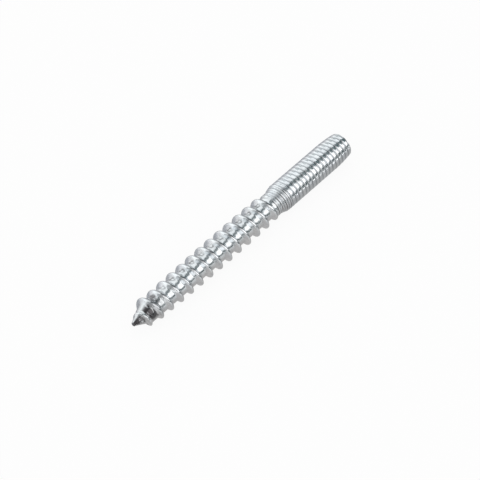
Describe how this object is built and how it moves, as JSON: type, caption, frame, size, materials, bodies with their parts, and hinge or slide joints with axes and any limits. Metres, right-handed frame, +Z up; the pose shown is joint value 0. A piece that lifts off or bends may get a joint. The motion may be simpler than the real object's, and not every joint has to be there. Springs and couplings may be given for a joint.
{
  "type": "hanger bolt",
  "caption": "Headless double-ended bolt: a coarse tapered wood screw thread with a gimlet point on one end and a fine machine thread with a bevelled flat end on the other.",
  "frame": {"origin": "on the surface that the bolt lies on, below the middle of its length", "axes": "+X along the bolt's axis, from the wood point to the flat end of the machine stud; +Z up from the surface it lies on"},
  "size_m": [0.06, 0.006, 0.0061],
  "materials": {
    "zinc_plated_steel": "bright zinc plating on rolled steel"
  },
  "bodies": {
    "root": {"hanger_bolt": "zinc_plated_steel"}
  },
  "joints": []
}
